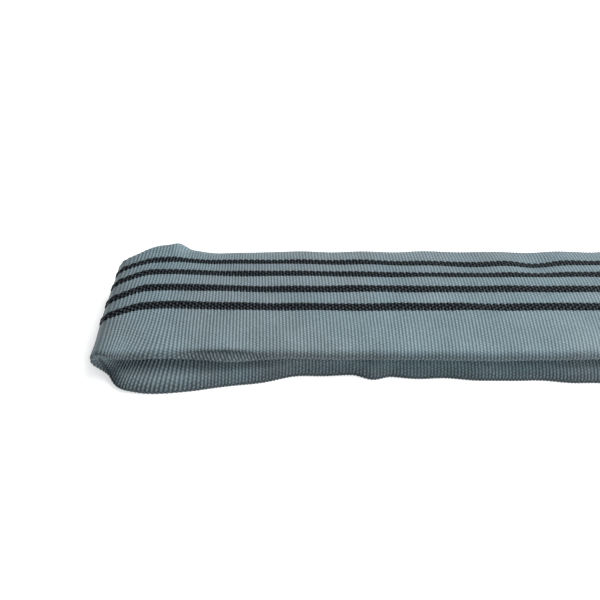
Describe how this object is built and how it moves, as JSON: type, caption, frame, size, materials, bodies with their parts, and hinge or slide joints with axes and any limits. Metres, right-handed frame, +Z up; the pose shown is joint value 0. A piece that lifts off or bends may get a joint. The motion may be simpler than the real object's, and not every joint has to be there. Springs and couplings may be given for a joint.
{
  "type": "round sling",
  "caption": "Endless soft lifting sling: a polyester core in a grey woven sleeve with black stripes, lying flat with an eye at each end.",
  "frame": {"origin": "on the underside, on the centreline, at the fold line in the middle of the length", "axes": "+X along the sling to its right bight, +Y across it to the edge with the label, +Z up from the surface it lies on"},
  "size_m": [0.5226, 0.1407, 0.0275],
  "materials": {
    "sleeve_fabric": "woven polyester, dull",
    "stripe_yarn": "black polyester yarn",
    "core_yarn": "undyed high-tenacity polyester yarn",
    "core_tape": "adhesive tape",
    "selvedge_yarn": "grey polyester catch yarn",
    "seam_thread": "polyester sewing thread",
    "label_tape": "blue polyester label tape",
    "label_film": "clear film",
    "label_ink": "printed marking",
    "label_thread": "white sewing thread"
  },
  "bodies": {
    "left_half": {"core_strand_1_left": "core_yarn", "core_strand_2_left": "core_yarn", "core_strand_3_left": "core_yarn", "core_strand_4_left": "core_yarn", "core_strand_5_left": "core_yarn", "core_strand_6_left": "core_yarn", "core_strand_7_left": "core_yarn", "core_strand_8_left": "core_yarn", "selvedge_cord_left": "selvedge_yarn", "sleeve_left": "sleeve_fabric", "stripe_1_left": "stripe_yarn", "stripe_2_left": "stripe_yarn", "stripe_3_left": "stripe_yarn", "stripe_4_left": "stripe_yarn"},
    "right_half": {"closing_seam": "seam_thread", "core_end_tape": "core_tape", "core_strand_1_right": "core_yarn", "core_strand_2_right": "core_yarn", "core_strand_3_right": "core_yarn", "core_strand_4_right": "core_yarn", "core_strand_5_right": "core_yarn", "core_strand_6_right": "core_yarn", "core_strand_7_right": "core_yarn", "core_strand_8_right": "core_yarn", "selvedge_cord_right": "selvedge_yarn", "sleeve_overlap": "sleeve_fabric", "sleeve_right": "sleeve_fabric", "stripe_1_right": "stripe_yarn", "stripe_2_right": "stripe_yarn", "stripe_3_right": "stripe_yarn", "stripe_4_right": "stripe_yarn"},
    "label_tag": {"label_cover": "label_film", "label_marking": "label_ink", "label_stitching": "label_thread", "label_tape": "label_tape"}
  },
  "joints": [
    {"name": "fold_in_half", "type": "hinge", "parent": "left_half", "child": "right_half", "pos_m": [0.0003, 0, 0.0245], "axis": [0, -1, 0], "range_deg": [0, 175]},
    {"name": "label_flap", "type": "hinge", "parent": "right_half", "child": "label_tag", "pos_m": [0.098, 0.04075, 0.0185], "axis": [1, 0, 0], "range_deg": [-70, 100]}
  ]
}
